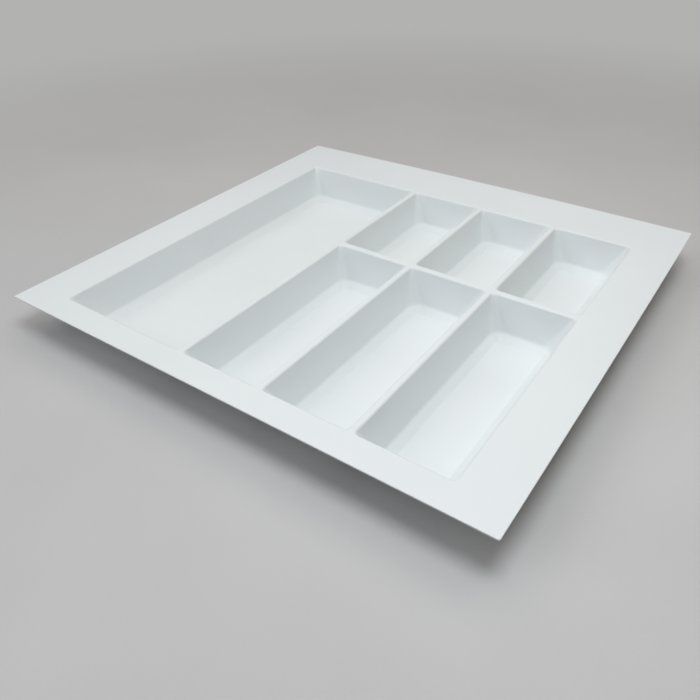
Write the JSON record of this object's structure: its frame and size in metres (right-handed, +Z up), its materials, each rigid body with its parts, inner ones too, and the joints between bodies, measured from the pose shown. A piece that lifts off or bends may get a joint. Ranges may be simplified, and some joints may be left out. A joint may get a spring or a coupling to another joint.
{
  "type": "cutlery tray",
  "caption": "Vacuum-formed white plastic drop-in cutlery tray for a kitchen drawer: sloping-sided wells inside a broad flat flange that is trimmed to fit.",
  "frame": {"origin": "under the middle of the tray's outline, on the surface that the well floors rest on", "axes": "+X to the tray's right, the three cutlery columns being on the right; +Y to its back, which has the broader flange; +Z up, out of the wells' mouths"},
  "size_m": [0.56, 0.535, 0.0427],
  "materials": {
    "sheet": "satin"
  },
  "bodies": {
    "root": {"front_flange": "sheet", "rear_flange": "sheet", "left_flange": "sheet", "right_flange": "sheet", "long_divider_cap": "sheet", "cross_divider_cap": "sheet", "front_divider_cap_1": "sheet", "front_divider_cap_2": "sheet", "rear_divider_cap_1": "sheet", "rear_divider_cap_2": "sheet", "utensil_well": "sheet", "front_left_well": "sheet", "rear_left_well": "sheet", "front_middle_well": "sheet", "rear_middle_well": "sheet", "front_right_well": "sheet", "rear_right_well": "sheet"}
  },
  "joints": []
}
